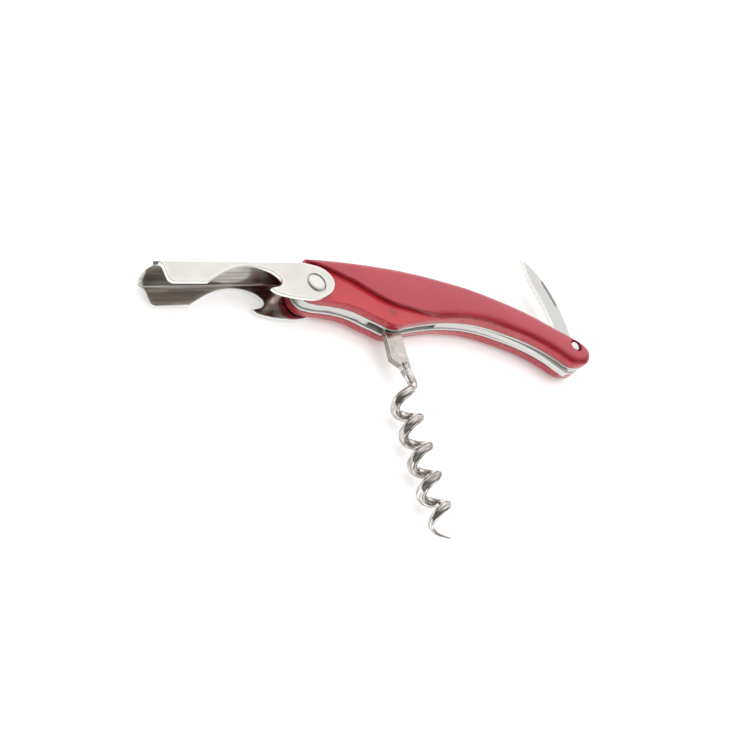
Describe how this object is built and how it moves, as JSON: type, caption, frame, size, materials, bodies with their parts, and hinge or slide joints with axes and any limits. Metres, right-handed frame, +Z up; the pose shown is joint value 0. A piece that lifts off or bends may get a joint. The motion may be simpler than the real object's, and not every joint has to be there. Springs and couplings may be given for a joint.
{
  "type": "lever corkscrew",
  "caption": "Folding lever corkscrew with a translucent red two-scale handle, channel lever with bottle-cap notch, wire worm and small foil blade, lying open on its side.",
  "frame": {"origin": "bottom centre of the whole object's box, on the surface that the handle's side lies on", "axes": "+X from the lever's tip towards the handle's tail, +Y towards the blade's tip and away from the worm's tip, +Z up through the handle's thickness, parallel to the three hinge axes"},
  "size_m": [0.1526, 0.0944, 0.014],
  "materials": {
    "red_acrylic": "translucent cherry red acrylic, polished",
    "polished_steel": "mirror-polished stainless steel",
    "satin_steel": "fine satin stainless steel",
    "spring_steel": "hardened steel, bright edges"
  },
  "bodies": {
    "handle": {"upper_scale": "red_acrylic", "lower_scale": "red_acrylic", "upper_liner": "satin_steel", "lower_liner": "satin_steel", "front_spacer": "satin_steel", "back_spring": "spring_steel", "worm_pin": "satin_steel", "lever_rivet": "polished_steel", "blade_rivet": "polished_steel", "spacer_rivet_front": "satin_steel", "spacer_rivet_rear": "satin_steel", "spring_rivet_front": "satin_steel", "spring_rivet_rear": "satin_steel", "upper_scale_stud": "satin_steel", "lower_scale_stud": "satin_steel"},
    "lever": {"lever": "polished_steel"},
    "worm": {"worm": "polished_steel"},
    "blade": {"knife_blade": "satin_steel"}
  },
  "joints": [
    {"name": "lever_fold", "type": "hinge", "parent": "handle", "child": "lever", "pos_m": [-0.02565, 0.03185, 0.007], "axis": [0, 0, 1], "range_deg": [0, 112]},
    {"name": "worm_fold", "type": "hinge", "parent": "handle", "child": "worm", "pos_m": [-0.00015, 0.02305, 0.007], "axis": [0, 0, 1], "range_deg": [0, 73]},
    {"name": "blade_fold", "type": "hinge", "parent": "handle", "child": "blade", "pos_m": [0.06995, 0.00935, 0.007], "axis": [0, 0, 1], "range_deg": [-118, 62]}
  ]
}
